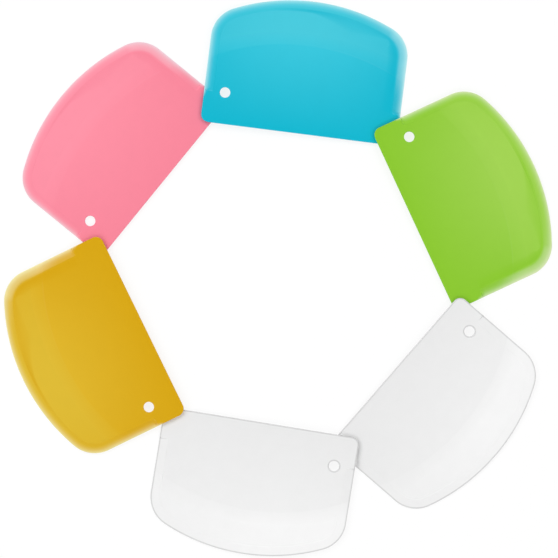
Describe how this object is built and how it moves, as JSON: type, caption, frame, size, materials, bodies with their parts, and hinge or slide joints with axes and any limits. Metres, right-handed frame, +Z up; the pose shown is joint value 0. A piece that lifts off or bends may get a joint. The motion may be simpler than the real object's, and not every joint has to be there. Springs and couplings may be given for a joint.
{
  "type": "bench scraper set",
  "caption": "Ring of flat D-shaped flexible plastic dough and bench scrapers in assorted colours, corners lapped, each with a bevelled curved edge and a hanging hole.",
  "frame": {"origin": "on the table, under the middle of the box round the ring of scrapers", "axes": "+Z up from the table, towards the scrapers' shaped fronts; +Y towards the middle of the blue scraper's end of the ring; +X towards the green and right-hand white scrapers"},
  "size_m": [0.3324, 0.3372, 0.0046],
  "materials": {
    "pink_plastic": "gloss",
    "blue_plastic": "gloss",
    "green_plastic": "gloss",
    "white_plastic": "gloss",
    "yellow_plastic": "gloss"
  },
  "bodies": {
    "pink": {"scraper_pink": "pink_plastic"},
    "blue": {"scraper_blue": "blue_plastic"},
    "green": {"scraper_green": "green_plastic"},
    "white_right": {"scraper_white_right": "white_plastic"},
    "white_bottom": {"scraper_white_bottom": "white_plastic"},
    "yellow": {"scraper_yellow": "yellow_plastic"}
  },
  "joints": [
    {"name": "blue_slide", "type": "slide", "parent": "pink", "child": "blue", "axis": [0.1253, 0.9921, 0], "range_m": [0, 0.04]},
    {"name": "green_slide", "type": "slide", "parent": "pink", "child": "green", "axis": [0.907, 0.421, 0], "range_m": [0, 0.04]},
    {"name": "white_right_slide", "type": "slide", "parent": "pink", "child": "white_right", "axis": [0.7559, -0.6547, 0], "range_m": [0, 0.04]},
    {"name": "white_bottom_slide", "type": "slide", "parent": "pink", "child": "white_bottom", "axis": [-0.1599, -0.9871, 0], "range_m": [0, 0.04]},
    {"name": "yellow_slide", "type": "slide", "parent": "pink", "child": "yellow", "axis": [-0.8988, -0.4384, 0], "range_m": [0, 0.04]}
  ]
}
